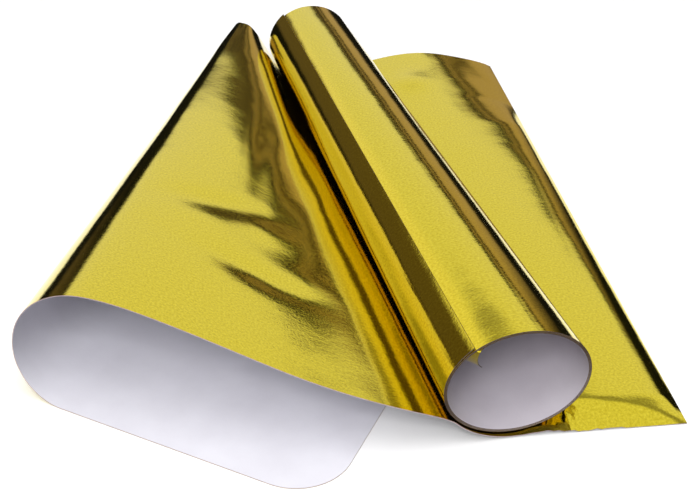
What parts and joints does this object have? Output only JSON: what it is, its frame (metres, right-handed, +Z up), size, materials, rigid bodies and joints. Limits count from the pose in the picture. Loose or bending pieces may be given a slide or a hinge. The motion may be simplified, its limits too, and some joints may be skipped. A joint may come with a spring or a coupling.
{
  "type": "roll of sign vinyl",
  "caption": "Loosely wound roll of gold mirror sign vinyl lying on a loose, curled sheet of the same film with its white release liner.",
  "frame": {"origin": "on the table, under the middle of the wound roll", "axes": "+Y along the roll from its open near mouth to its far end, +Z up, +X towards the flap that lies flat"},
  "size_m": [0.2529, 0.3466, 0.0426],
  "materials": {
    "gold_film": "metallised gold mirror film",
    "release_liner": "smooth white silicone-coated paper"
  },
  "bodies": {
    "sheet": {"sheet_film": "gold_film", "sheet_liner": "release_liner"},
    "roll": {"roll_film": "gold_film", "roll_liner": "release_liner"}
  },
  "joints": [
    {"name": "roll_lift", "type": "slide", "parent": "sheet", "child": "roll", "axis": [0, 0, 1], "range_m": [0, 0.08]}
  ]
}
